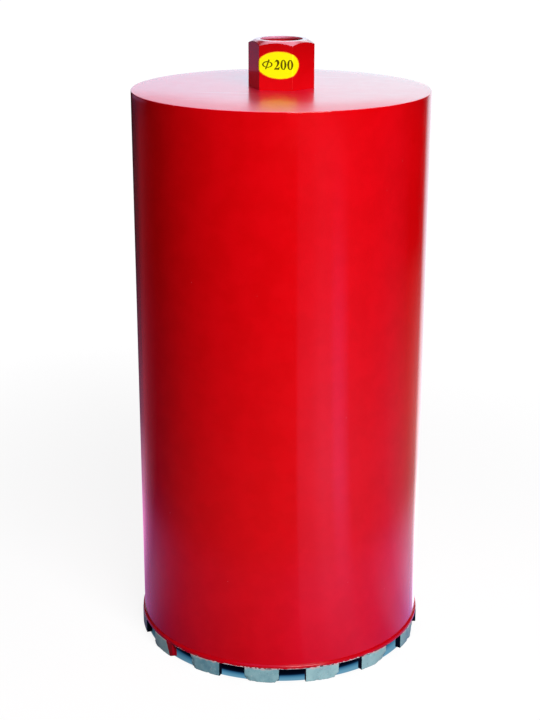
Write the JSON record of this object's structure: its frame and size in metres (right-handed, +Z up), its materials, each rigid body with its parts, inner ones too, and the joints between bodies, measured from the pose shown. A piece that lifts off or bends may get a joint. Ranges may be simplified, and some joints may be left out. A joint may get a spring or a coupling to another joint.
{
  "type": "diamond core bit",
  "caption": "Wet core drill bit: a red steel barrel with a welded top plate, a hexagonal threaded connector, and a crown of spaced diamond segments at its foot.",
  "frame": {"origin": "on the barrel's axis, level with the cutting faces of the segments, on which the bit stands", "axes": "+Z up the axis, from the segments to the connector; -Y is the flat of the hexagon with the size label; +X completes a right-handed frame"},
  "size_m": [0.1999, 0.1999, 0.4167],
  "materials": {
    "red_paint": "glossy red spray paint on steel, bare and dull inside the barrel",
    "segment_metal": "dull ground sintered metal with diamond grit",
    "weld_steel": "as-welded steel bead",
    "yellow_label": "printed yellow vinyl"
  },
  "bodies": {
    "root": {"barrel_tube": "red_paint", "top_plate": "red_paint", "rim_weld": "red_paint", "carrier_ring": "red_paint", "hub": "red_paint", "hub_weld": "weld_steel", "size_label": "yellow_label", "segment_01": "segment_metal", "segment_02": "segment_metal", "segment_03": "segment_metal", "segment_04": "segment_metal", "segment_05": "segment_metal", "segment_06": "segment_metal", "segment_07": "segment_metal", "segment_08": "segment_metal", "segment_09": "segment_metal", "segment_10": "segment_metal", "segment_11": "segment_metal", "segment_12": "segment_metal", "segment_13": "segment_metal", "segment_14": "segment_metal", "segment_15": "segment_metal"}
  },
  "joints": []
}
